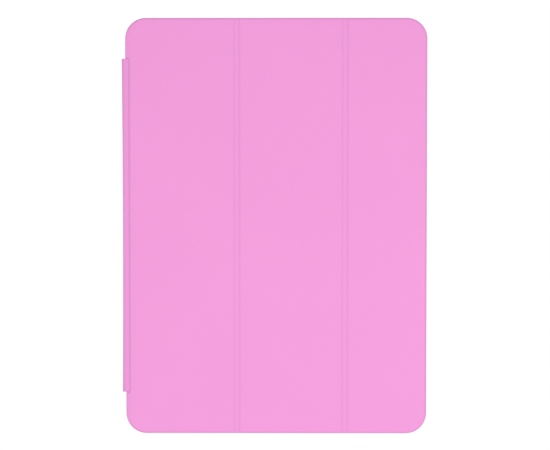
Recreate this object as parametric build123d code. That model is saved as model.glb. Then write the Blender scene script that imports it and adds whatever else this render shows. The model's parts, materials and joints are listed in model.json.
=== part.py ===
from build123d import *
import os

# Tri-fold case for an 11-inch tablet, closed and lying on its back.
#
# A hard tray holds the tablet. One sheet of soft skin is glued to the tray's back, turns up round a
# narrow spine and over the front as a cover of three stiffened panels, so that the cover opens like a
# book, folds behind the tray, and rolls into a triangular stand. Each panel is a laminate: outer skin,
# stiff board, soft lining. The sheet is cut here at its fold lines, because each stretch of it moves
# by itself, and a narrow strip of web stands on every fold line.
#
# Frame, in millimetres: +Z is out of the cover, +Y is the tablet's long side, the spine is at -X.
# The origin is the middle of the tray's back, on the face that the case rests on.

# ---------------------------------------------------------------- sizes that can be set
tablet_width = 178.5
tablet_length = 247.6
tablet_thickness = 6.1
tablet_radius = 11.0
tablet_gap = 0.2  # between the tablet and the tray's walls, all round

shell_wall = 1.2
shell_floor = 1.2
rim_height = 0.5  # the tray's rim above the tablet's front
lip_reach = 0.5  # how far the corner lips reach in over the tablet
lip_side = 24.0  # length of each corner lip along both sides
shell_edge_radius = 0.6  # along the tray's back
rim_edge_radius = 0.4

skin = 0.7
board = 0.9
lining = 0.4
spine_board_thickness = 0.5
edge_radius = 0.45  # rounding of the skin's outer edges

cover_gap = 0.2  # between the closed cover and the tray's rim
spine_stand_off = 0.6  # between the spine's lining and the tray's side
spine_inset = 24.8  # from the case's end to the spine's end
spine_rise = 0.4  # the spine's middle above the tray's middle, along Y
notch_radius = 1.2

hinge_hem = 1.6  # from the cover's spine edge to the line that it folds back on
free_panel_width = 49.5  # from the second crease; the other two panels share the rest
web_half_width = 1.0  # of the strip on a crease
web_half_thickness = 0.4
fold_clearance = 0.15  # half of what stays free between two pieces that fold together

crease_edge = 1.5  # from a crease's middle to the skin's edge
crease_full = 2.6  # from a crease's middle to where the laminate has its full thickness
crease_thin = 0.5  # half of the laminate's thickness at its edge on a crease
hem = 3.0  # from the cover's edge to the boards
lining_hem = 1.2  # from the cover's edge to its lining
crease_hem = 0.5  # from the skin's edge on a crease to the boards
board_gap = 0.1  # round a board in its pocket

camera_window = 34.0
camera_window_radius = 9.0
camera_inset = 26.0  # from the tray's two sides to the window's middle
camera_ring = 1.0  # width of the tray's collar round the window
camera_ring_recess = 0.1
skin_inset = 0.8  # from the tray's edge to the back skin's edge

port_width = 15.0
slot_height = 5.0
power_slot = 22.0
power_inset = 34.0  # from the tray's side to the slot's middle
volume_slot = 24.0
volume_inset = 34.0  # from the tray's top to the slot's middle
speaker_slot = 9.0
speaker_slot_height = 2.4
speaker_pitch = 12.0
speaker_count = 3
speaker_inset = 27.0  # from the tray's side to the middle of a speaker's slots
pencil_low_inset = 36.0  # from the tray's bottom to the window for the stylus
pencil_high_inset = 64.0
pencil_sill = 0.6  # the wall that is left under the window
pencil_radius = 2.4

magnet_length = 12.0
magnet_width = 4.0
magnet_cover = 0.1  # of board, over a magnet
magnet_edge = 2.0  # of board, beside the magnets
magnet_pitch = 26.0
magnet_gap = 0.05  # round a magnet or plate in its pocket
wake_magnet_length = 8.0
wake_inset = 12.0  # from the row of magnets to the wake magnet
catch_length = 44.0
catch_width = 9.0
catch_thickness = 0.4
catch_edge = 1.2  # of board, beside the plates
catch_pitch = 56.0

# ---------------------------------------------------------------- places worked out from them
bay_width = tablet_width + 2 * tablet_gap
bay_length = tablet_length + 2 * tablet_gap
bay_radius = tablet_radius + tablet_gap
case_width = bay_width + 2 * shell_wall
case_length = bay_length + 2 * shell_wall
case_radius = bay_radius + shell_wall
half_width = case_width / 2
half_length = case_length / 2

shell_low = skin
floor_top = shell_low + shell_floor
bay_low = floor_top + lining
bay_high = bay_low + tablet_thickness
rim = bay_high + rim_height

laminate = skin + board + lining
cover_low = rim + cover_gap
cover_high = cover_low + laminate
cover_mid = (cover_low + cover_high) / 2
board_low = cover_low + lining
board_high = board_low + board

spine_laminate = skin + spine_board_thickness + lining
spine_outer = -half_width - spine_stand_off - spine_laminate
spine_length = case_length - 2 * spine_inset
spine_low_y = spine_rise - spine_length / 2
spine_high_y = spine_rise + spine_length / 2

# Hinge lines, all along Y, as (x, z). The back and the cover lie in one plane when the case is open.
half_laminate = laminate / 2
spine_hinge = (spine_outer + half_laminate, half_laminate)
cover_hinge = (spine_outer + half_laminate, cover_mid)
fold_back_hinge = (-half_width + hinge_hem, cover_high + fold_clearance)
crease_2 = (half_width - free_panel_width, cover_mid)
crease_1 = ((fold_back_hinge[0] + crease_2[0]) / 2, cover_mid)
panel_start = fold_back_hinge[0] + fold_clearance


# ---------------------------------------------------------------- helpers
def slab(outline, low, high):
    """A plan outline as a plate between two heights."""
    return extrude(Plane.XY.offset(low) * outline, high - low)


def block(x, y, z):
    """A box from its three (low, high) pairs."""
    size = [high - low for low, high in (x, y, z)]
    middle = [(high + low) / 2 for low, high in (x, y, z)]
    return Pos(*middle) * Box(*size)


def bar(points, low_y, high_y):
    """A closed outline of (x, z) points, drawn along Y."""
    corners = [(x, low_y, z) for x, z in points]
    face = make_face(Polyline(*corners, close=True))
    return extrude(face, high_y - low_y, dir=(0, 1, 0))


def rounded_plan(inset):
    """The case's plan outline, moved in all round."""
    return RectangleRounded(
        case_width - 2 * inset, case_length - 2 * inset, case_radius - inset
    )


def plan_strip(low_x, high_x):
    """A plan rectangle between two X places, longer than the case."""
    return Pos((low_x + high_x) / 2, 0) * Rectangle(high_x - low_x, 2 * case_length)


def notch():
    """The plan gap in the cover's spine edge, where the spine's web passes. It opens at the edge
    with a round at each inner corner."""
    width = 2 * (panel_start + half_width)
    return Pos(-half_width, spine_rise) * RectangleRounded(
        width, spine_length + 2 * notch_radius, notch_radius
    )


def window_plan(grow):
    """The camera window's plan outline, grown all round."""
    side = camera_window + 2 * grow
    return Pos(half_width - camera_inset, half_length - camera_inset) * RectangleRounded(
        side, side, camera_window_radius + grow
    )


def row_places(count, pitch):
    """Places along a line, evenly spaced about its middle."""
    return [(index - (count - 1) / 2) * pitch for index in range(count)]


def row_count(pitch):
    """How many of these fit along the straight part of the case's long side."""
    return int((case_length - 2 * case_radius) // pitch)


# ---------------------------------------------------------------- the tray
def wall_slot(middle, width, height, x_side, y_side):
    """A cutter for a slot through one of the tray's walls, halfway up the tablet's side."""
    middle_z = (bay_low + bay_high) / 2
    reach = 4 * shell_wall
    if x_side:
        place, size = (x_side * half_width, middle, middle_z), (reach, width, height)
    else:
        place, size = (middle, y_side * half_length, middle_z), (width, reach, height)
    cutter = Pos(*place) * Box(*size)
    along = Axis.X if x_side else Axis.Y
    return fillet(cutter.edges().filter_by(along), 0.45 * min(width, height))


def rear_shell():
    """Hard plastic tray with corner lips, wall cut-outs and a collar round the camera window."""
    outer = slab(rounded_plan(0), shell_low, rim)
    outer = fillet(outer.edges().group_by(Axis.Z)[0], shell_edge_radius)
    outer = fillet(outer.edges().group_by(Axis.Z)[-1], rim_edge_radius)
    bay = RectangleRounded(bay_width, bay_length, bay_radius)
    shell = outer - slab(bay, floor_top, rim)

    ring = slab(bay, bay_high, rim)
    mouth = RectangleRounded(
        bay_width - 2 * lip_reach, bay_length - 2 * lip_reach, bay_radius - lip_reach
    )
    lips = ring - slab(mouth, bay_high, rim)
    for x_side in (-1, 1):
        for y_side in (-1, 1):
            corner = Pos(
                x_side * (bay_width - lip_side) / 2,
                y_side * (bay_length - lip_side) / 2,
                (bay_high + rim) / 2,
            ) * Box(lip_side, lip_side, rim_height)
            shell += lips & corner

    collar = slab(window_plan(camera_ring), camera_ring_recess, floor_top)
    shell += collar
    shell -= slab(window_plan(0), camera_ring_recess, floor_top)

    shell -= wall_slot(0, port_width, slot_height, 0, -1)
    shell -= wall_slot(half_width - power_inset, power_slot, slot_height, 0, 1)
    shell -= wall_slot(half_length - volume_inset, volume_slot, slot_height, 1, 0)
    for x_side, y_side in ((-1, -1), (1, -1), (-1, 1)):
        for place in row_places(speaker_count, speaker_pitch):
            middle = x_side * (half_width - speaker_inset) + place
            shell -= wall_slot(middle, speaker_slot, speaker_slot_height, 0, y_side)

    pencil = block(
        (half_width - 2 * shell_wall, half_width + shell_wall),
        (-half_length + pencil_low_inset, half_length - pencil_high_inset),
        (bay_low + pencil_sill, rim + rim_height),
    )
    low_edges = pencil.edges().filter_by(Axis.X).group_by(Axis.Z)[0]
    return shell - fillet(low_edges, pencil_radius)


def rear_skin():
    """The sheet on the tray's back, with a tab that runs to the spine."""
    tab = Pos(-half_width / 2, spine_rise) * Rectangle(half_width, spine_length)
    sheet = slab(rounded_plan(skin_inset) + tab, 0, skin)
    return sheet - slab(window_plan(camera_ring + board_gap), 0, skin)


def tray_lining():
    """Soft lining on the tray's floor."""
    pad = RectangleRounded(
        bay_width - 2 * board_gap, bay_length - 2 * board_gap, bay_radius - board_gap
    )
    return slab(pad - window_plan(board_gap), floor_top, bay_low)


# ---------------------------------------------------------------- the spine
spine_solid_low = spine_hinge[1] + web_half_width + fold_clearance
spine_solid_high = cover_hinge[1] - web_half_width - fold_clearance


def spine_layer(start, thickness, inset):
    """One upright layer of the spine, from its distance behind the spine's outer face."""
    return block(
        (spine_outer + start, spine_outer + start + thickness),
        (spine_low_y + inset, spine_high_y - inset),
        (spine_solid_low + inset / 2, spine_solid_high - inset / 2),
    )


def hinge_strip(hinge, reach):
    """The web beside one of the spine's hinge lines, up to what it joins."""
    return block(
        (hinge[0] - web_half_thickness, reach - 2 * fold_clearance),
        (spine_low_y, spine_high_y),
        (hinge[1] - web_half_thickness, hinge[1] + web_half_thickness),
    )


# ---------------------------------------------------------------- the cover
cover_left = -half_width
cover_right = half_width
panels = {
    "hinge_panel": (cover_left, crease_1[0] - crease_edge),
    "middle_panel": (crease_1[0] + crease_edge, crease_2[0] - crease_edge),
    "free_panel": (crease_2[0] + crease_edge, cover_right),
}


def relief(crease, side):
    """A cutter that thins the laminate towards a crease, over its top and its underside."""
    near, full, past = (side * x for x in (crease_edge, crease_full, crease_edge / 2))
    x, z = crease
    top = [
        (x + near, z + crease_thin),
        (x + full, z + half_laminate),
        (x + past, z + half_laminate),
        (x + past, z + crease_thin),
    ]
    under = [(px, 2 * z - pz) for px, pz in top]
    return [bar(line, -case_length, case_length) for line in (top, under)]


def board_plan(low_x, high_x):
    """A board's plan: in from the cover's edges by the hem, and just short of each crease."""
    left = cover_left if low_x == cover_left else low_x + crease_hem
    right = cover_right if high_x == cover_right else high_x - crease_hem
    return rounded_plan(hem) & plan_strip(left, right)


def panel_reliefs(low_x, high_x):
    cutters = []
    if low_x != cover_left:
        crease = crease_1 if low_x < crease_2[0] - crease_edge else crease_2
        cutters += relief(crease, 1)
    if high_x != cover_right:
        crease = crease_1 if high_x < crease_1[0] else crease_2
        cutters += relief(crease, -1)
    return cutters


def panel_skin(low_x, high_x):
    """The outer sheet with its edges turned down round the board, as a shallow pan."""
    whole = slab(rounded_plan(0), board_low, cover_high)
    rims = whole.edges().group_by(Axis.Z)
    whole = fillet(rims[0] + rims[-1], edge_radius)
    whole -= slab(notch(), board_low, cover_high)
    sheet = whole & slab(plan_strip(low_x, high_x), board_low, cover_high)
    sheet -= slab(board_plan(low_x, high_x), board_low, board_high)
    for cutter in panel_reliefs(low_x, high_x):
        sheet -= cutter
    return sheet


def panel_lining(low_x, high_x):
    """The soft inner sheet."""
    plan = rounded_plan(lining_hem) - notch()
    sheet = slab(plan & plan_strip(low_x, high_x), cover_low, board_low)
    for cutter in panel_reliefs(low_x, high_x):
        sheet -= cutter
    return sheet


def panel_board(low_x, high_x):
    """The stiff board in its pocket, before anything is let into it."""
    plan = offset(board_plan(low_x, high_x), amount=-board_gap, kind=Kind.INTERSECTION)
    return slab(plan, board_low, board_high)


def let_in(middle_x, middle_y, size, grow):
    """A plate lying in a board, flush with the board's lining side, or its pocket."""
    length_y, width_x, thick = size
    return block(
        (middle_x - width_x / 2 - grow, middle_x + width_x / 2 + grow),
        (middle_y - length_y / 2 - grow, middle_y + length_y / 2 + grow),
        (board_low, board_low + thick + grow),
    )


board_edge = half_width - hem - board_gap  # X of the cover's outermost board edges
magnet_thickness = board - magnet_cover
magnet_size = (magnet_length, magnet_width, magnet_thickness)
magnet_x = board_edge - magnet_edge - magnet_width / 2
magnet_rows = [(magnet_x, y) for y in row_places(row_count(magnet_pitch), magnet_pitch)]
wake_size = (wake_magnet_length, magnet_width, magnet_thickness)
wake_place = (magnet_x - wake_inset, magnet_rows[-1][1] - magnet_pitch / 2)
catch_size = (catch_length, catch_width, catch_thickness)
catch_x = -board_edge + catch_edge + catch_width / 2
catch_rows = [(catch_x, y) for y in row_places(row_count(catch_pitch), catch_pitch)]


def plates(places, size):
    return Compound([let_in(x, y, size, 0) for x, y in places])


def hinge_panel_board():
    made = panel_board(*panels["hinge_panel"])
    for x, y in catch_rows:
        made -= let_in(x, y, catch_size, magnet_gap)
    return made


def free_panel_board():
    made = panel_board(*panels["free_panel"])
    for x, y in magnet_rows:
        made -= let_in(x, y, magnet_size, magnet_gap)
    return made - let_in(*wake_place, wake_size, magnet_gap)


def crease_strip(crease):
    """The web's rigid core on a crease between two panels."""
    length = case_length - 2 * edge_radius
    return Pos(crease[0], 0, crease[1]) * Box(
        2 * web_half_width, length, 2 * web_half_thickness
    )


# ---------------------------------------------------------------- every node
nodes = {
    "rear_shell": rear_shell(),
    "rear_skin": rear_skin(),
    "tray_lining": tray_lining(),
    "rear_hinge_web": hinge_strip(spine_hinge, -half_width),
    "spine_skin": spine_layer(0, skin, 0),
    "spine_board": spine_layer(skin, spine_board_thickness, crease_hem),
    "spine_lining": spine_layer(skin + spine_board_thickness, lining, 0),
    "cover_hinge_web": hinge_strip(cover_hinge, panel_start),
    "hinge_panel_skin": panel_skin(*panels["hinge_panel"]),
    "hinge_panel_board": hinge_panel_board(),
    "hinge_panel_lining": panel_lining(*panels["hinge_panel"]),
    "stand_catch_plates": plates(catch_rows, catch_size),
    "crease_1_web": crease_strip(crease_1),
    "middle_panel_skin": panel_skin(*panels["middle_panel"]),
    "middle_panel_board": panel_board(*panels["middle_panel"]),
    "middle_panel_lining": panel_lining(*panels["middle_panel"]),
    "crease_2_web": crease_strip(crease_2),
    "free_panel_skin": panel_skin(*panels["free_panel"]),
    "free_panel_board": free_panel_board(),
    "free_panel_lining": panel_lining(*panels["free_panel"]),
    "closure_magnets": plates(magnet_rows, magnet_size),
    "wake_magnet": let_in(*wake_place, wake_size, 0),
}

os.makedirs("parts", exist_ok=True)
for name, shape in nodes.items():
    shape.label = name
    export_step(shape, f"parts/{name}.step")
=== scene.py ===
# %% [markdown]
# # A soft folding case for a tablet
#
# The case is a hard tray with one soft sheet round it. The sheet covers the tray's back, turns up
# round a narrow spine and comes over the front as a cover of three stiff panels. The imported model
# gives every rigid piece its place and the bodies that move. This scene adds what the eye reads: the
# rounded rims of a turned-in sheet, the two pressed creases, the soft hinge and the finishes.

import json
import math

import bmesh
import bpy
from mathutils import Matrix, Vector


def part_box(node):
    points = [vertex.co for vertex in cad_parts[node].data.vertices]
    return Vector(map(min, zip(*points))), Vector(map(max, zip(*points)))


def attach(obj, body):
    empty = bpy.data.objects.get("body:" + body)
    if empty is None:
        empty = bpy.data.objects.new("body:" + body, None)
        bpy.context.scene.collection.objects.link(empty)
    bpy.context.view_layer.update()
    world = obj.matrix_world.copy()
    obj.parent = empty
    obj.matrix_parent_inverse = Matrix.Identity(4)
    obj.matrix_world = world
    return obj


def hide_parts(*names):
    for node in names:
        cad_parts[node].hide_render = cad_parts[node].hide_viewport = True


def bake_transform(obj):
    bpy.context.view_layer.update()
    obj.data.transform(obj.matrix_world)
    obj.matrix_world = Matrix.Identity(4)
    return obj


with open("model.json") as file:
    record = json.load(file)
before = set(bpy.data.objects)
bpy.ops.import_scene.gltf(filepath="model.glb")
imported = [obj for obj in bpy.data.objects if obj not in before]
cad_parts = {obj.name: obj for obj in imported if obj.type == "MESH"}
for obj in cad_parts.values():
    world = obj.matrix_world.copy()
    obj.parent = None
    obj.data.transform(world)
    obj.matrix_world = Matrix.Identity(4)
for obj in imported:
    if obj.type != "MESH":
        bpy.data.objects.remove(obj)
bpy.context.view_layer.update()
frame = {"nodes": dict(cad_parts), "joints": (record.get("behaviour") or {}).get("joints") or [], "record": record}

# %% [markdown]
# ## Sizes that come from the frame
#
# Each size is read from a node's box or from a joint, so that a new pack of the model moves the soft
# pieces with it. One millimetre is 0.001, because everything here is in metres.

# %% Read the sizes
MM = 0.001
NEAR = 1e-6  # two places closer than this are the same
WEB_GAP = 0.3 * MM  # from the soft hinge to the panel it leaves
joint_at = {joint["name"]: joint["pos_m"] for joint in frame["joints"]}

outer_low, outer_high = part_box("hinge_panel_skin")
free_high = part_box("free_panel_skin")[1]
lining_low, lining_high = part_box("hinge_panel_lining")
board_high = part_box("middle_panel_board")[1]
spine_low, spine_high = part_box("spine_skin")
web_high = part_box("cover_hinge_web")[1]
back_low, back_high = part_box("rear_skin")
floor_low, floor_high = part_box("tray_lining")

half_width = free_high.x
half_length = free_high.y
cover_top = outer_high.z
cover_under = outer_low.z
panel_start = web_high.x + WEB_GAP  # the hinge panel's edge along the spine
creases = (joint_at["fold_1"][0], joint_at["fold_2"][0])
corner_radius = 12.4 * MM
print("creases at", creases, "cover", cover_under, cover_top)

# %% [markdown]
# ## Writing shader maths as Python
#
# A finish is a small sum: grain plus tone, times wear and painted shade. A shader tree hides that sum
# in dozens of boxes, so this wrapper lets a socket be added and multiplied like a number. Each operator
# adds one Math node. Every other node comes from one method, which sets the node's settings first and
# then its sockets.


# %% Wrap sockets
class Signal:
    """One output socket that Python arithmetic can build on."""

    def __init__(self, finish, socket):
        self.finish = finish
        self.socket = socket

    def maths(self, operation, first, second):
        return self.finish.node(
            "ShaderNodeMath", {"operation": operation}, {0: first, 1: second}
        )

    def __add__(self, other):
        return self.maths("ADD", self, other)

    def __sub__(self, other):
        return self.maths("SUBTRACT", self, other)

    def __mul__(self, other):
        return self.maths("MULTIPLY", self, other)

    def __rsub__(self, other):
        return self.maths("SUBTRACT", other, self)

    __radd__ = __add__
    __rmul__ = __mul__


class Finish:
    """A material and its nodes."""

    def __init__(self, name):
        self.material = bpy.data.materials.new(name)
        self.material.use_nodes = True
        self.tree = self.material.node_tree
        self.shader = self.tree.nodes["Principled BSDF"]

    def node(self, kind, settings=None, inputs=None, output=0):
        """Any node: its settings, then the values or links of its sockets. Gives one output."""
        made = self.tree.nodes.new(kind)
        for name, value in (settings or {}).items():
            setattr(made, name, value)
        for key, value in (inputs or {}).items():
            self.feed(made.inputs[key], value)
        return Signal(self, made.outputs[output])

    def feed(self, socket, value):
        if isinstance(value, Signal):
            self.tree.links.new(value.socket, socket)
        else:
            socket.default_value = value

    def blend_colours(self, factor, first, second):
        """A colour between two, where the first may be a colour or an output socket."""
        start = first if isinstance(first, Signal) else (*first, 1)
        return self.node(
            "ShaderNodeMix",
            {"data_type": "RGBA"},
            {0: factor, 6: start, 7: (*second, 1)},
            output=2,
        )

    def set(self, **sockets):
        """Feeds the shader's own sockets, named with underscores for spaces."""
        for name, value in sockets.items():
            self.feed(self.shader.inputs[name.replace("_", " ")], value)

    def bump(self, height, distance, strength=1.0):
        normal = self.node(
            "ShaderNodeBump",
            {},
            {"Strength": strength, "Distance": distance, "Height": height},
        )
        self.feed(self.shader.inputs["Normal"], normal)


# %% [markdown]
# ## Where the patterns live
#
# The sheet pieces bend at the hinges, so their grain has to bend with them. Each gets a UV map whose
# unit is one metre of sheet. The hard pieces never bend, so their grain reads Object coordinates.


# %% Give patterns their coordinates
def sheet_place(finish):
    return finish.node("ShaderNodeUVMap", {"uv_map": "Metres"})


def solid_place(finish):
    return finish.node("ShaderNodeTexCoord", output="Object")


def noise(finish, place, scale, detail=2.0, roughness=0.5):
    return finish.node(
        "ShaderNodeTexNoise",
        {},
        {"Vector": place, "Scale": scale, "Detail": detail, "Roughness": roughness},
    )


def pebbles(finish, place, scale):
    """Rounded grains, high in the middle."""
    cells = finish.node(
        "ShaderNodeTexVoronoi",
        {"feature": "SMOOTH_F1"},
        {"Vector": place, "Scale": scale, "Smoothness": 0.6},
        output="Distance",
    )
    return 1 - cells


# %% [markdown]
# ## The soft-touch skin
#
# The outside is polyurethane film on cloth, smooth and nearly matt, in a cool candy pink. Close up it
# has a grain of low pebbles under half a millimetre across, and the rims and creases are rubbed a
# little smoother. Their colour is darker too: partly wear, and partly painted shade at the rims, the
# pressed lines and the groove by the spine. The pebbles are Voronoi cells with a fine noise over
# them, and a slow noise shifts the tone by a few percent, because a dyed sheet is never quite even.

# %% Make the skin finish
PINK = (0.86, 0.323, 0.692)
PINK_DEEP = (0.82, 0.295, 0.652)
PINK_WORN_AND_SHADED = (0.66, 0.24, 0.545)
WORN_AND_SHADED_SHARE = 0.8  # how far full wear and painted shade go towards the darker colour


def make_skin():
    finish = Finish("soft_touch_pink")
    place = sheet_place(finish)
    grain = pebbles(finish, place, scale=2300.0)
    fine = noise(finish, place, scale=5200.0, detail=3.0)
    slow = noise(finish, place, scale=14.0, detail=3.0)
    # The stored mask darkens the rims, the pressed lines, the groove by the spine and the spine band: partly
    # rubbed wear, partly painted shade.
    wear = finish.node("ShaderNodeAttribute", {"attribute_name": "wear"}, output="Fac")
    tone = finish.blend_colours(slow * 0.7 + grain * 0.3, PINK_DEEP, PINK)
    colour = finish.blend_colours(wear * WORN_AND_SHADED_SHARE, tone, PINK_WORN_AND_SHADED)
    finish.set(
        Base_Color=colour,
        Roughness=0.56 + fine * 0.12 - wear * 0.1,
        Specular_IOR_Level=0.35,
        Sheen_Weight=0.12,
        Sheen_Roughness=0.45,
    )
    finish.bump(grain * 0.75 + fine * 0.25, distance=0.00003, strength=0.6)
    return finish.material


skin_finish = make_skin()

# %% [markdown]
# ## The brushed lining
#
# Inside, every panel is faced with microfibre, a short nap that is soft, dull and faintly streaked
# where fibres lie together. A noise stretched along the case gives the streaks, and a fine noise
# gives the nap. Sheen does the rest: it brightens the cloth where it curves away.

# %% Make the lining finish
LINING = (0.74, 0.33, 0.60)
LINING_DEEP = (0.62, 0.25, 0.49)


def make_lining(name, place_of):
    finish = Finish(name)
    place = place_of(finish)
    streaked = finish.node(
        "ShaderNodeMapping", {}, {"Vector": place, "Scale": (1.0, 0.22, 1.0)}
    )
    nap = noise(finish, streaked, scale=3800.0, detail=4.0, roughness=0.7)
    brushed = noise(finish, streaked, scale=240.0, detail=4.0)
    patch = noise(finish, place, scale=22.0, detail=2.0)
    shade = nap * 0.45 + brushed * 0.35 + patch * 0.2
    colour = finish.blend_colours(shade, LINING_DEEP, LINING)
    finish.set(
        Base_Color=colour,
        Roughness=0.88 + nap * 0.1,
        Specular_IOR_Level=0.2,
        Sheen_Weight=0.35,
        Sheen_Roughness=0.6,
        Sheen_Tint=(1.0, 0.8, 0.95, 1.0),
    )
    finish.bump(nap * 0.7 + brushed * 0.3, distance=0.00008, strength=0.7)
    return finish.material


lining_finish = make_lining("brushed_microfibre", sheet_place)

# %% [markdown]
# ## The moulded tray
#
# The tray is injection-moulded in a pink a shade deeper than the skin. A spark-eroded mould leaves a
# very fine even grit and slightly glossier high spots. It is a rigid piece, so the grit reads Object
# coordinates.

# %% Make the tray finish
TRAY_PINK = (0.72, 0.27, 0.58)
TRAY_PINK_DEEP = (0.66, 0.235, 0.525)


def make_tray_plastic():
    finish = Finish("moulded_pink_tray")
    place = solid_place(finish)
    grit = noise(finish, place, scale=3400.0, detail=3.0, roughness=0.6)
    flow = noise(finish, place, scale=30.0, detail=2.0)
    colour = finish.blend_colours(grit * 0.5 + flow * 0.5, TRAY_PINK_DEEP, TRAY_PINK)
    finish.set(
        Base_Color=colour,
        Roughness=0.42 + grit * 0.16,
        Specular_IOR_Level=0.45,
    )
    finish.bump(grit, distance=0.00002, strength=0.5)
    return finish.material


tray_finish = make_tray_plastic()

# %% [markdown]
# ## What the laminate hides
#
# The stiff boards are thin glass-fibre sheet, a grey weave under resin. The catch plates are rolled
# steel with streaks along the strip, and the magnets are plated with nickel. They are shut between
# skin and lining, but they are real pieces, so each gets its own finish.


# %% Make the hidden finishes
def make_glass_fibre():
    finish = Finish("glass_fibre_board")
    place = solid_place(finish)
    warp = finish.node(
        "ShaderNodeTexWave",
        {"bands_direction": "X"},
        {"Vector": place, "Scale": 160.0, "Distortion": 0.6, "Detail": 1.0},
        output="Fac",
    )
    weft = finish.node(
        "ShaderNodeTexWave",
        {"bands_direction": "Y"},
        {"Vector": place, "Scale": 160.0, "Distortion": 0.6, "Detail": 1.0},
        output="Fac",
    )
    weave = warp * weft
    colour = finish.blend_colours(weave, (0.33, 0.35, 0.33), (0.52, 0.54, 0.50))
    finish.set(Base_Color=colour, Roughness=0.35 + weave * 0.25)
    finish.bump(weave, distance=0.00004, strength=0.6)
    return finish.material


def make_metal(name, dark, light, stretch, roughness):
    finish = Finish(name)
    place = finish.node(
        "ShaderNodeMapping", {}, {"Vector": solid_place(finish), "Scale": stretch}
    )
    streaks = noise(finish, place, scale=1800.0, detail=4.0)
    finish.set(
        Base_Color=finish.blend_colours(streaks, dark, light),
        Metallic=1.0,
        Roughness=roughness + streaks * 0.15,
    )
    finish.bump(streaks, distance=0.00001, strength=0.4)
    return finish.material


board_finish = make_glass_fibre()
steel_finish = make_metal(
    "rolled_steel", (0.42, 0.42, 0.43), (0.60, 0.60, 0.61), (1, 0.04, 1), 0.3
)
magnet_finish = make_metal(
    "nickel_plate", (0.50, 0.49, 0.47), (0.66, 0.65, 0.62), (1, 1, 1), 0.2
)

# %% [markdown]
# ## Turning a bmesh into a finished piece
#
# Every sheet piece ends the same way: its faces are shaded smooth up to a sharp angle, the map in
# metres is laid on it, and the mix of wear and painted shade worked out for each point is stored.
# Along the sheet the map adds X and Z, so that the grain runs on round the spine where X stops and Z
# starts.

# %% Finish a piece
SHARP = math.radians(38)


def finished(bm, name, material, wear=None):
    bmesh.ops.recalc_face_normals(bm, faces=bm.faces)
    metres = bm.loops.layers.uv.new("Metres")
    for face in bm.faces:
        face.smooth = True
        for corner in face.loops:
            x, y, z = corner.vert.co
            corner[metres].uv = (x + z, y)
    for edge in bm.edges:
        edge.smooth = len(edge.link_faces) == 2 and edge.calc_face_angle(0) < SHARP
    open_edges = sum(not edge.is_manifold for edge in bm.edges)
    mesh = bpy.data.meshes.new(name)
    bm.to_mesh(mesh)
    bm.free()
    layer = mesh.attributes.new("wear", "FLOAT", "POINT")
    for point, value in zip(mesh.vertices, layer.data):
        value.value = wear(point.co.x, point.co.y, point.co.z) if wear else 0.0
    mesh.materials.append(material)
    piece = bpy.data.objects.new(name, mesh)
    bpy.context.scene.collection.objects.link(piece)
    print(name, len(mesh.polygons), "faces,", open_edges, "open edges")
    return piece


# %% [markdown]
# ## The cover's outline
#
# Seen from the front the cover is a rectangle with round corners, set back along the spine where the
# soft web leaves it. Eight points give the outline, and a bevel on the four outer ones rounds them.
# Insetting that one face again and again lays rings along the rim, each at a known depth, and later
# each ring gets its height. Straight cuts along the creases add the lines that the grooves need.

# %% Draw an outline and cut lines across it
LINE_CLEARANCE = 1e-7


def outline(half_x, half_y, radius, step=()):
    """A flat rounded rectangle. A step is (x, low y, high y), and sets a stretch of its left side."""
    bm = bmesh.new()
    corners = [(half_x, -half_y), (half_x, half_y), (-half_x, half_y)]
    if step:
        step_x, step_low, step_high = step
        corners += [(-half_x, step_high), (step_x, step_high)]
        corners += [(step_x, step_low), (-half_x, step_low)]
    corners.append((-half_x, -half_y))
    points = [bm.verts.new((x, y, 0)) for x, y in corners]
    bm.faces.new(points)
    bmesh.ops.bevel(
        bm,
        geom=points[:3] + points[-1:],
        offset=radius,
        offset_type="OFFSET",
        segments=16,
        profile=0.5,
        affect="VERTICES",
        material=-1,
    )
    return bm


def add_rings(bm, depths):
    reached = 0.0
    inner = bm.faces[:]
    for depth in depths:
        bmesh.ops.inset_region(
            bm,
            faces=inner,
            thickness=depth - reached,
            use_boundary=True,
            use_even_offset=True,
        )
        reached = depth
        inner = [max(bm.faces, key=lambda face: face.calc_area())]


def cut_lines(bm, axis, places):
    for place in places:
        normal = (1, 0, 0) if axis == "x" else (0, 1, 0)
        at = tuple(place * n for n in normal)
        everything = bm.verts[:] + bm.edges[:] + bm.faces[:]
        bmesh.ops.bisect_plane(
            bm, geom=everything, dist=LINE_CLEARANCE, plane_co=at, plane_no=normal
        )


# %% [markdown]
# ## How high each point of the cover lies
#
# Two plain distances decide the heights: how far a point is inside the outline, and how far it is
# from the nearest crease. Only the board's pocket needs a third, from the whole rounded rectangle,
# because the board is cut without the notch beside the spine. The rim falls away in a quarter of an
# ellipse, because the film is turned in round the board's edge. Three millimetres in, the turned-in
# hem ends, and shows through as a step that the hand feels before the eye sees it. At a crease the
# laminate has no board, so the sheet sinks a little and carries two pressed lines with a flat web
# between them.

# %% Work out distances and heights
NOTCH_GAP = 0.15 * MM  # between the band's ends and the notch that it lies in
STEP_LOW = spine_low.y - NOTCH_GAP
STEP_HIGH = spine_high.y + NOTCH_GAP
RIM_WIDTH = 1.4 * MM
RIM_DROP = 0.8 * MM
SHOULDER_DROP = 0.28 * MM
SHOULDER_END = 2 * MM
HEM = 3.0 * MM
HEM_SINK = 0.07 * MM
HEM_LEAD = 0.1 * MM
HEM_FADE = 0.9 * MM
WEB_SINK = 0.12 * MM
WEB_FLAT = 1.4 * MM
WEB_FADE = 3.0 * MM
LINE_AT = 1.5 * MM  # a pressed line's distance from the crease's middle
LINE_SINK = 0.11 * MM
LINE_FADE = 0.9 * MM
BOARD_AT = 2.0 * MM  # where the boards start beside a crease
PLY = 0.45 * MM  # what the web of a crease has below its middle
PLY_RUN = 0.5 * MM
UNDER_DROP = 0.5 * MM
UNDER_WIDTH = 0.6 * MM
STEP_SHARE = 0.25  # how much of a margin the side beside the spine keeps


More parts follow.
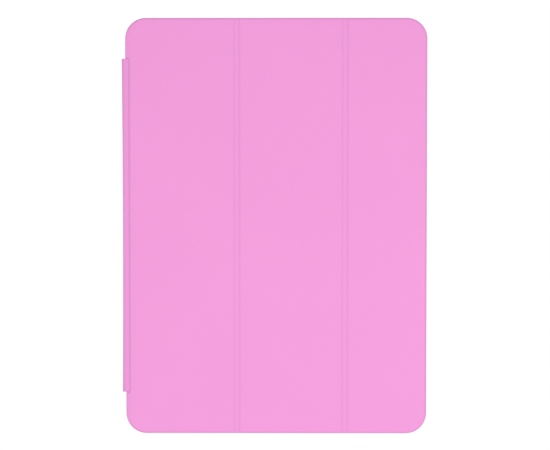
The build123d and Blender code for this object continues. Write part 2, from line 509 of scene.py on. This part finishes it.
def rounded_distance(x, y, half_x, half_y, radius):
    """How far inside a rounded rectangle a point lies."""
    over_x = abs(x) - (half_x - radius)
    over_y = abs(y) - (half_y - radius)
    outside = math.hypot(max(over_x, 0), max(over_y, 0))
    return radius - outside - min(max(over_x, over_y), 0)


def inside(x, y, margin=0.0):
    """How far inside the cover's outline, moved in by a margin, a point lies."""
    rim = rounded_distance(x, y, half_width, half_length, corner_radius) - margin
    beside = x - panel_start - margin * STEP_SHARE
    beyond = max(y - STEP_HIGH, STEP_LOW - y) - margin
    step = math.hypot(max(beside, 0), max(beyond, 0))
    if beside > 0 or beyond > 0:
        return min(rim, step)
    return 0.0


def from_crease(x):
    return min(abs(x - crease) for crease in creases)


def ease(value, low, high):
    """0 below low, 1 above high, smooth between."""
    t = min(max((value - low) / (high - low), 0.0), 1.0)
    return t * t * (3 - 2 * t)


def beside_spine(x, y):
    """1 along the stretch of edge that the soft hinge leaves from, 0 elsewhere."""
    if x > 0:
        return 0.0
    below_end = ease(STEP_HIGH + SHOULDER_END - y, 0.0, SHOULDER_END)
    return below_end * ease(y - STEP_LOW + SHOULDER_END, 0.0, SHOULDER_END)


def edge_fall(x, y, depth):
    """How far the top has fallen: a quarter round at the rim, a soft shoulder by the spine."""
    across = min(max(1 - depth / RIM_WIDTH, 0.0), 1.0)
    rounded = RIM_DROP * (1 - math.sqrt(1 - across * across))
    shoulder = SHOULDER_DROP * ease(across, 0.0, 1.0)
    share = beside_spine(x, y)
    return rounded * (1 - share) + shoulder * share


def cover_height(x, y):
    depth, away = inside(x, y), from_crease(x)
    web = WEB_SINK * (1 - ease(away, WEB_FLAT, WEB_FADE))
    line = LINE_SINK * (1 - ease(abs(away - LINE_AT), 0.0, LINE_FADE))
    hem = HEM_SINK * (1 - ease(depth, HEM - HEM_LEAD, HEM + HEM_FADE))
    return cover_top - edge_fall(x, y, depth) - web - line - hem


def ply_lift(x):
    """How far a crease's two layers meet above the place where the panels' layers do."""
    return PLY * (1 - min(max((from_crease(x) - LINE_AT) / PLY_RUN, 0), 1))


def pocket_height(x, y):
    """The skin's inner side: the hem round the edge, and the pocket that the board lies in."""
    from_edge = rounded_distance(x, y, half_width, half_length, corner_radius)
    if from_edge >= HEM - NEAR and from_crease(x) >= BOARD_AT - NEAR:
        return board_high.z
    rounding = UNDER_DROP * (1 - ease(inside(x, y), 0.0, UNDER_WIDTH))
    return cover_under + max(rounding, ply_lift(x))


def cover_wear_and_shade(x, y, z):
    """How dark each point is painted, for rubbing and as painted shade: most at the rim, less at the pressed
    lines, least in the groove.
    """
    depth, away = inside(x, y), from_crease(x)
    rim = 1 - ease(depth, 0.0, 1.6 * MM)
    line = 1 - ease(abs(away - LINE_AT), 0.1 * MM, 1.3 * MM)
    groove = 1 - ease(x - panel_start, 0.6 * MM, 2.0 * MM)
    at_rim = x > 0 or depth < x + half_width - 1 * MM
    return max(rim if at_rim else 0.15 * groove, 0.3 * line)


# %% [markdown]
# ## One cover, cut where it bends
#
# The whole cover is made as one closed sheet: the flat outline is copied, the copy becomes the inner
# side, and a bridge joins the two round the edge. Then it is cut into five, three panels and the two
# strips that bend. A strip and its panels share the same cut, so the joint between them can't be
# seen.

# %% Thicken a flat sheet and cut it
RIM_RINGS = (0.1, 0.25, 0.45, 0.7, 1.0, 1.4, 1.8)
HEM_RINGS = (2.9, 3.0, 3.3, 3.6, 3.9, 4.3)
RING_DEPTHS = [d * MM for d in RIM_RINGS + HEM_RINGS]
WEB_LINES = (0, 0.6, 0.8, 1.0, 1.2, 1.35, 1.5, 1.65, 1.8, 1.9)
BESIDE_LINES = (2.0, 2.2, 2.4, 2.7, 3.0, 3.5)
CREASE_LINES = [d * MM for d in WEB_LINES + BESIDE_LINES]
STRIP_HALF = 1.9 * MM
CROSS_LINES = [y * MM for y in (-100, -98, -75, -50, -25, 0, 25, 50, 75, 99, 101)]


def crease_lines():
    sides = {crease + side * d for crease in creases for d in CREASE_LINES for side in (-1, 1)}
    return sorted(sides)


def closed_sheet(bm, top, under):
    """The flat sheet as a solid, with its two heights as functions of place."""
    copy = bmesh.ops.duplicate(bm, geom=bm.verts[:] + bm.edges[:] + bm.faces[:])
    lower = {v for v in copy["geom"] if isinstance(v, bmesh.types.BMVert)}
    for vert in bm.verts:
        height = under if vert in lower else top
        vert.co.z = height(vert.co.x, vert.co.y)
    rims = [edge for edge in bm.edges if edge.is_boundary]
    bmesh.ops.bridge_loops(bm, edges=rims)
    return bm


def cut_between(whole, low, high, axis="x"):
    """A copy of the part of a solid between two places, closed at its cuts."""
    bm = whole.copy()
    for place, side in ((low, -1), (high, 1)):
        if place is None:
            continue
        normal = (side, 0, 0) if axis == "x" else (0, 0, side)
        everything = bm.verts[:] + bm.edges[:] + bm.faces[:]
        cut = bmesh.ops.bisect_plane(
            bm,
            geom=everything,
            dist=LINE_CLEARANCE,
            plane_co=tuple(abs(n) * place for n in normal),
            plane_no=normal,
            clear_outer=True,
        )
        edges = [g for g in cut["geom_cut"] if isinstance(g, bmesh.types.BMEdge)]
        bmesh.ops.edgeloop_fill(bm, edges=edges)
    return bm


# %% Make the outer cover
flat = outline(half_width, half_length, corner_radius, (panel_start, STEP_LOW, STEP_HIGH))
add_rings(flat, RING_DEPTHS)
cut_lines(flat, "x", crease_lines())
pocket_start = HEM - half_width
cut_lines(flat, "x", [pocket_start - HEM_LEAD, pocket_start])
cut_lines(flat, "y", CROSS_LINES)
cover = closed_sheet(flat, cover_height, pocket_height)

PANELS = {
    "hinge_panel": (None, creases[0] - STRIP_HALF),
    "middle_panel": (creases[0] + STRIP_HALF, creases[1] - STRIP_HALF),
    "free_panel": (creases[1] + STRIP_HALF, None),
}
STRIPS = {
    "crease_1": (creases[0], "hinge_panel", "middle_panel"),
    "crease_2": (creases[1], "middle_panel", "free_panel"),
}


def panels_from(whole, layer, material, node, wear=None):
    """Cuts a whole layer of the cover into its panels, which ride, and its strips."""
    for body, (low, high) in PANELS.items():
        piece = finished(
            cut_between(whole, low, high), f"{body}_{layer}", material, wear
        )
        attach(piece, body)
        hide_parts(f"{body}_{node}")
    for name, (crease, before, after) in STRIPS.items():
        bm = cut_between(whole, crease - STRIP_HALF, crease + STRIP_HALF)
        piece = finished(bm, f"{name}_{layer}", material, wear)
        crease - LINE_AT
        crease + LINE_AT
        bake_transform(piece)
        if node == "skin":
            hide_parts(f"{name}_web")
    whole.free()


panels_from(cover, "outer", skin_finish, "skin", cover_wear_and_shade)

# %% [markdown]
# ## The cover's lining
#
# The microfibre stops a little short of the rim, where the skin turns in over the board. It is
# pressed down in a narrow border, and it thins at the creases so that the panels can close on each
# other. It is drawn, raised and cut in the way that the skin was, from an outline that is a little
# smaller.

# %% Make the lining
LINING_MARGIN = 1.2 * MM
LINING_EDGE = 0.22 * MM
LINING_EDGE_WIDTH = 0.35 * MM
BORDER_PRESS = 0.1 * MM
BORDER_AT = 2.2 * MM
BORDER_WIDTH = 0.5 * MM
THINNED = 0.5 * MM
THIN_RUN = 1.1 * MM
LINING_RINGS = (0.12, 0.35, 1.0, 1.7, 2.0, 2.2, 2.4, 2.7, 3.4)


def lining_top(x, y):
    return lining_high.z + ply_lift(x)


def lining_under(x, y):
    depth, away = inside(x, y, LINING_MARGIN), from_crease(x)
    edge = LINING_EDGE * (1 - ease(depth, 0.0, LINING_EDGE_WIDTH))
    border = BORDER_PRESS * (1 - ease(abs(depth - BORDER_AT), 0.0, BORDER_WIDTH))
    thin = THINNED * (1 - min(max((away - LINE_AT) / THIN_RUN, 0), 1))
    return lining_low.z + max(edge, border, thin)


flat = outline(
    half_width - LINING_MARGIN,
    half_length - LINING_MARGIN,
    corner_radius - LINING_MARGIN,
    (
        panel_start + LINING_MARGIN * STEP_SHARE,
        STEP_LOW - LINING_MARGIN,
        STEP_HIGH + LINING_MARGIN,
    ),
)
add_rings(flat, [d * MM for d in LINING_RINGS])
cut_lines(flat, "x", crease_lines())
lining = closed_sheet(flat, lining_top, lining_under)
panels_from(lining, "inner", lining_finish, "lining")

# %% [markdown]
# ## The band round the spine
#
# Between the cover and the tray's back the sheet is one band. It leaves the hinge panel in a groove,
# rounds the spine's top corner, goes down and turns under the tray. Five points give its path, one
# extrusion along the case makes it a strip, a bevel rounds its two corners, and Solidify gives it its
# thickness. It is softest halfway along, where it bows in by 0.4 mm. Three bodies pull on it, so it
# is cut into three.

# %% Make the band
BAND_TOP = cover_top - 0.15 * MM
BAND_FOOT = back_low.z
BAND_OUT = spine_low.x
SHEET = 0.7 * MM
TUCK = 0.12 * MM  # how far the band's end runs on into the panel, so that no gap shows
TUCK_DROP = 0.23 * MM
RAMP = 1.3 * MM
TOP_RADIUS = 1.7 * MM
FOOT_RADIUS = 1.3 * MM
BOW = 0.4 * MM
UPRIGHT_LINES = [z * MM for z in (2.4, 3.5, 5.0, 6.5, 8.0, 9.2)]
RAMP_LINES = [panel_start - d * MM for d in (0.0, 0.2, 0.45, 0.7, 0.95, 1.2)]
ALONG_SHARES = (-0.98, -0.9, -0.75, -0.5, -0.25, 0, 0.25, 0.5, 0.75, 0.9, 0.98)
spine_middle = (spine_low.y + spine_high.y) / 2
spine_half = (spine_high.y - spine_low.y) / 2


def band():
    """The whole band as one closed sheet, from the groove to the tray's back."""
    path = [
        (panel_start + TUCK, BAND_TOP - TUCK_DROP),
        (panel_start - RAMP, BAND_TOP),
        (BAND_OUT, BAND_TOP),
        (BAND_OUT, BAND_FOOT),
        (back_low.x, BAND_FOOT),
    ]
    bm = bmesh.new()
    points = [bm.verts.new((x, -spine_half, z)) for x, z in path]
    edges = [bm.edges.new(pair) for pair in zip(points, points[1:])]
    made = bmesh.ops.extrude_edge_only(bm, edges=edges)
    moved = [v for v in made["geom"] if isinstance(v, bmesh.types.BMVert)]
    bmesh.ops.translate(bm, verts=moved, vec=(0, 2 * spine_half, 0))
    for height, radius in ((BAND_TOP, TOP_RADIUS), (BAND_FOOT, FOOT_RADIUS)):
        corner = [
            edge
            for edge in bm.edges
            if not edge.is_boundary
            and all(abs(vert.co.x - BAND_OUT) < NEAR for vert in edge.verts)
            and all(abs(vert.co.z - height) < NEAR for vert in edge.verts)
        ]
        bmesh.ops.bevel(
            bm,
            geom=corner,
            offset=radius,
            offset_type="OFFSET",
            segments=9,
            profile=0.5,
            affect="EDGES",
            material=-1,
        )
    for z in UPRIGHT_LINES:
        everything = bm.verts[:] + bm.edges[:] + bm.faces[:]
        bmesh.ops.bisect_plane(
            bm, geom=everything, dist=LINE_CLEARANCE, plane_co=(0, 0, z), plane_no=(0, 0, 1)
        )
    cut_lines(bm, "x", RAMP_LINES)
    cut_lines(bm, "y", [share * spine_half for share in ALONG_SHARES])
    bmesh.ops.recalc_face_normals(bm, faces=bm.faces)
    middle = max(bm.faces, key=lambda face: face.calc_area())
    outwards = middle.normal.x < 0
    bmesh.ops.solidify(bm, geom=bm.faces[:], thickness=SHEET if outwards else -SHEET)
    for vert in bm.verts:
        along = vert.co.y / spine_half
        reach = 1 - ease(vert.co.x, BAND_OUT, BAND_OUT + SHEET)
        vert.co.x += BOW * reach * (1 - along * along)
        vert.co.y += spine_middle
    return bm


spine_band = band()
MID_SPINE = 5.5 * MM
HINGE_CUT = BAND_OUT + 2.4 * MM
UPRIGHT_AT = BAND_OUT + 0.55 * MM
BEND_LEVEL = cover_top - 0.5 * MM
BEND_REACH = 2.2 * MM  # how far up and down the spine its two bends run
FOOT_BEND = (BAND_OUT + 1.95 * MM, 0, SHEET / 2)
TOP_BEND = (BAND_OUT + 1.85 * MM, 0, BEND_LEVEL)


def band_piece(name, spans, before, after, start, end, *nodes):
    """One stretch of the band, cut out by its spans."""
    bm = spine_band
    for low, high, axis in spans:
        bm = cut_between(bm, low, high, axis)
    piece = finished(bm, name, skin_finish, band_wear_and_shade)
    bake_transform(piece)
    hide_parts(*nodes)


# How dark the band is painted, for rubbing and as painted shade: a little all along, more at the top corner, the
# foot and the ends.
def band_wear_and_shade(x, y, z):
    top_corner = 1 - ease(math.hypot(x - BAND_OUT, z - BAND_TOP), 0.6 * MM, 2.4 * MM)
    foot = 1 - ease(math.hypot(x - BAND_OUT, z - BAND_FOOT), 0.4 * MM, 2.0 * MM)
    end = 1 - ease(spine_half - abs(y - spine_middle), 0.0, 1.5 * MM)
    return max(0.3, 0.36 * top_corner, 0.6 * foot, 0.4 * end)


band_piece(
    "rear_hinge_skin",
    [(None, MID_SPINE, "z")],
    "tray",
    "spine",
    FOOT_BEND,
    (UPRIGHT_AT, 0, BEND_REACH),
    "rear_hinge_web",
    "spine_skin",
)
band_piece(
    "cover_hinge_skin",
    [(MID_SPINE, None, "z"), (None, HINGE_CUT, "x")],
    "spine",
    "cover_edge",
    (UPRIGHT_AT, 0, cover_top - BEND_REACH),
    TOP_BEND,
    "cover_hinge_web",
)
band_piece(
    "fold_back_skin",
    [(MID_SPINE, None, "z"), (HINGE_CUT, None, "x")],
    "cover_edge",
    "hinge_panel",
    (HINGE_CUT, 0, BEND_LEVEL),
    (panel_start, 0, BEND_LEVEL),
)

# %% [markdown]
# ## Sheets with a window
#
# The sheet on the tray's back and the lining on its floor both leave a window for the camera. Filling
# between two closed outlines makes a face with a hole in it, which one polygon can't have. The fill
# is then extruded to its thickness, and the rims that show are bevelled, as pressed film is.

# %% Make the back sheet and the bay lining
openings = {hole["name"]: hole for hole in frame["record"]["physics"]["openings"]}
window_low, window_high = openings["camera_window"]["box_m"]
window_centre = [(window_low[i] + window_high[i]) / 2 for i in (0, 1)]
WINDOW_HALF = 17.0 * MM
WINDOW_RADIUS = 9.0 * MM


def windowed_sheet(outer, grow, low, high, rim, show_high):
    """Fills between an outline and the camera window, thickens it and rounds its showing rim."""
    window = outline(WINDOW_HALF + grow, WINDOW_HALF + grow, WINDOW_RADIUS + grow)
    bmesh.ops.translate(window, verts=window.verts, vec=(*window_centre, 0))
    scrap = bpy.data.meshes.new("window_outline")
    window.to_mesh(scrap)
    window.free()
    outer.from_mesh(scrap)
    bpy.data.meshes.remove(scrap)
    bmesh.ops.delete(outer, geom=outer.faces[:], context="FACES_ONLY")
    bmesh.ops.triangle_fill(outer, edges=outer.edges[:], use_beauty=True)
    bmesh.ops.translate(outer, verts=outer.verts, vec=(0, 0, low))
    made = bmesh.ops.extrude_face_region(outer, geom=outer.faces[:], use_keep_orig=True)
    top = [v for v in made["geom"] if isinstance(v, bmesh.types.BMVert)]
    bmesh.ops.translate(outer, verts=top, vec=(0, 0, high - low))
    bmesh.ops.recalc_face_normals(outer, faces=outer.faces)
    level = high if show_high else low
    shown = [
        edge
        for edge in outer.edges
        if all(abs(v.co.z - level) < LINE_CLEARANCE for v in edge.verts)
        and abs(edge.calc_face_angle(0) - math.pi / 2) < 0.1
        and not all(abs(v.co.x - back_low.x) < NEAR for v in edge.verts)
    ]
    bmesh.ops.bevel(
        outer,
        geom=shown,
        offset=rim,
        offset_type="OFFSET",
        segments=3,
        profile=0.5,
        affect="EDGES",
        material=-1,
    )
    return outer


BACK_INSET = 0.8 * MM
back_outline = outline(
    half_width - BACK_INSET,
    half_length - BACK_INSET,
    corner_radius - BACK_INSET,
    (back_low.x, spine_low.y, spine_high.y),
)
back_sheet = finished(
    windowed_sheet(
        back_outline,
        grow=1.1 * MM,
        low=back_low.z,
        high=back_high.z,
        rim=0.3 * MM,
        show_high=False,
    ),
    "back_sheet",
    skin_finish,
)
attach(back_sheet, "tray")
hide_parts("rear_skin")

BAY_RADIUS = 11.1 * MM
floor_outline = outline(floor_high.x, floor_high.y, BAY_RADIUS)
bay_lining = finished(
    windowed_sheet(
        floor_outline,
        grow=0.1 * MM,
        low=floor_low.z,
        high=floor_high.z,
        rim=0.12 * MM,
        show_high=True,
    ),
    "bay_lining",
    lining_finish,
)
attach(bay_lining, "tray")
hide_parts("tray_lining")

# %% [markdown]
# ## The lining on the spine
#
# A narrow strip of the same microfibre faces the tray's side when the case is shut. It wraps over the
# edges of the thin board behind it and meets the skin there, so that no board shows when the case is
# open. It starts as a cube pulled out to size. The side towards the skin is inset and pushed in,
# which makes the pocket that the board lies in, and the side that shows gets a pressed border.

# %% Make the spine lining
pad_low, pad_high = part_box("spine_lining")
spine_board_low, spine_board_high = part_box("spine_board")
WRAP = 0.35 * MM
POCKET_ROOM = 0.03 * MM
PAD_ROUND = 0.15 * MM
PAD_BORDER = 0.8 * MM
PRESS_WIDTH = 0.3 * MM
PRESS_DEPTH = 0.08 * MM
pad_low.x = spine_high.x
for axis in (1, 2):
    pad_low[axis] = spine_board_low[axis] - WRAP - POCKET_ROOM
    pad_high[axis] = spine_board_high[axis] + WRAP + POCKET_ROOM
pad = bmesh.new()
bmesh.ops.create_cube(pad, size=1.0)
bmesh.ops.scale(pad, verts=pad.verts, vec=pad_high - pad_low)
bmesh.ops.translate(pad, verts=pad.verts, vec=(pad_high + pad_low) / 2)
bmesh.ops.bevel(
    pad,
    geom=[e for e in pad.edges if all(v.co.x > pad_low.x + NEAR for v in e.verts)],
    offset=PAD_ROUND,
    offset_type="OFFSET",
    segments=3,
    profile=0.5,
    affect="EDGES",
    material=-1,
)
pad.normal_update()
pocket = max((f for f in pad.faces if f.normal.x < -0.99), key=lambda f: f.calc_area())
facing = max((f for f in pad.faces if f.normal.x > 0.99), key=lambda f: f.calc_area())
bmesh.ops.inset_region(pad, faces=[pocket], thickness=WRAP)
pocket_depth = spine_board_high.x - spine_high.x + POCKET_ROOM
bmesh.ops.translate(pad, verts=pocket.verts, vec=(pocket_depth, 0, 0))
bmesh.ops.inset_region(pad, faces=[facing], thickness=PAD_BORDER)
bmesh.ops.inset_region(pad, faces=[facing], thickness=PRESS_WIDTH, depth=-PRESS_DEPTH)
print("spine lining", [round(length / MM, 2) for length in pad_high - pad_low], "mm")
spine_pad = finished(pad, "spine_pad", lining_finish)
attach(spine_pad, "spine")
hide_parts("spine_lining")

# %% [markdown]
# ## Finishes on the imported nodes
#
# The tray, the boards, the catch plates and the magnets keep the shapes that the model gives them. A
# node takes its finish through its object's material slots, and nothing else about it changes.

# %% Give the nodes their finishes
NODE_FINISHES = {
    "rear_shell": tray_finish,
    "spine_board": board_finish,
    "hinge_panel_board": board_finish,
    "middle_panel_board": board_finish,
    "free_panel_board": board_finish,
    "stand_catch_plates": steel_finish,
    "closure_magnets": magnet_finish,
    "wake_magnet": magnet_finish,
}
for name, finish in NODE_FINISHES.items():
    node = frame["nodes"][name]
    for material_slot in node.material_slots:
        material_slot.material = finish
    print(name, len(node.material_slots), "slots")

# %% [markdown]
# ## Floor, light and camera
#
# The case is shown on a plain white ground with soft light from all round, so that nothing but its
# own relief makes a shade. The ground gives out the white that it would reflect. It lies below
# everything that hangs under the tray when the stand is folded, and it lets the eye through from
# below.

# %% Lay the floor
GROUND_HALF = 25.0  # wide enough that its edge never shows from a low view
GROUND_DROP = 0.075  # below the stand when it hangs under the tray
ground = bmesh.new()
bmesh.ops.create_grid(ground, x_segments=4, y_segments=4, size=GROUND_HALF)
bmesh.ops.translate(ground, verts=ground.verts, vec=(0, 0, -GROUND_DROP))
ground_mesh = bpy.data.meshes.new("floor")
ground.to_mesh(ground_mesh)
ground.free()
floor = bpy.data.objects.new("floor", ground_mesh)
bpy.context.scene.collection.objects.link(floor)

white = Finish("white_ground")
speck = noise(white, solid_place(white), scale=40.0, detail=2.0)
white.set(
    Base_Color=white.blend_colours(speck, (0.01, 0.01, 0.01), (0.012, 0.012, 0.012)),
    Roughness=1.0,
    Specular_IOR_Level=0.0,
    Emission_Color=(1.0, 1.0, 1.0, 1.0),
    Emission_Strength=1.0,
)
behind = white.node("ShaderNodeNewGeometry", output="Backfacing")
clear = white.node("ShaderNodeBsdfTransparent")
shown = white.node(
    "ShaderNodeMixShader",
    {},
    {0: behind, 1: Signal(white, white.shader.outputs[0]), 2: clear},
)
white.feed(white.tree.nodes["Material Output"].inputs["Surface"], shown)
ground_mesh.materials.append(white.material)

# %% Light it
WORLD_LIGHT = 0.55
world = bpy.data.worlds.new("soft_room")
world.use_nodes = True
world.node_tree.nodes["Background"].inputs["Color"].default_value = (1.0, 1.0, 1.0, 1.0)
world.node_tree.nodes["Background"].inputs["Strength"].default_value = WORLD_LIGHT
bpy.context.scene.world = world
bpy.context.scene.view_settings.view_transform = "Standard"

softbox = bpy.data.lights.new("softbox", "AREA")
softbox.shape = "SQUARE"
softbox.size = 1.5
softbox.energy = 14.0
softbox_stand = bpy.data.objects.new("softbox", softbox)
softbox_stand.location = (0.22, -0.3, 1.35)
softbox_stand.rotation_euler = (math.radians(12), math.radians(9), 0)
bpy.context.scene.collection.objects.link(softbox_stand)

# %% Set up the camera
from mathutils import Matrix, Vector

AIM = Vector((-0.7 * MM, 0.96 * MM, cover_top))
DISTANCE = 0.998
LEAN = math.radians(2.3)  # towards the case's far end
SIDE = math.radians(0.4)
back = Vector((math.sin(SIDE), math.sin(LEAN), 1.0)).normalized()
right = Vector((0, 1, 0)).cross(back).normalized()
turn = Matrix((right, back.cross(right), back)).transposed()

lens = bpy.data.cameras.new("camera")
lens.lens = 108.5
lens.sensor_width = 36.0
lens.clip_end = 100.0
camera = bpy.data.objects.new("camera", lens)
camera.matrix_world = Matrix.LocRotScale(AIM + back * DISTANCE, turn, None)
bpy.context.scene.collection.objects.link(camera)
bpy.context.scene.camera = camera
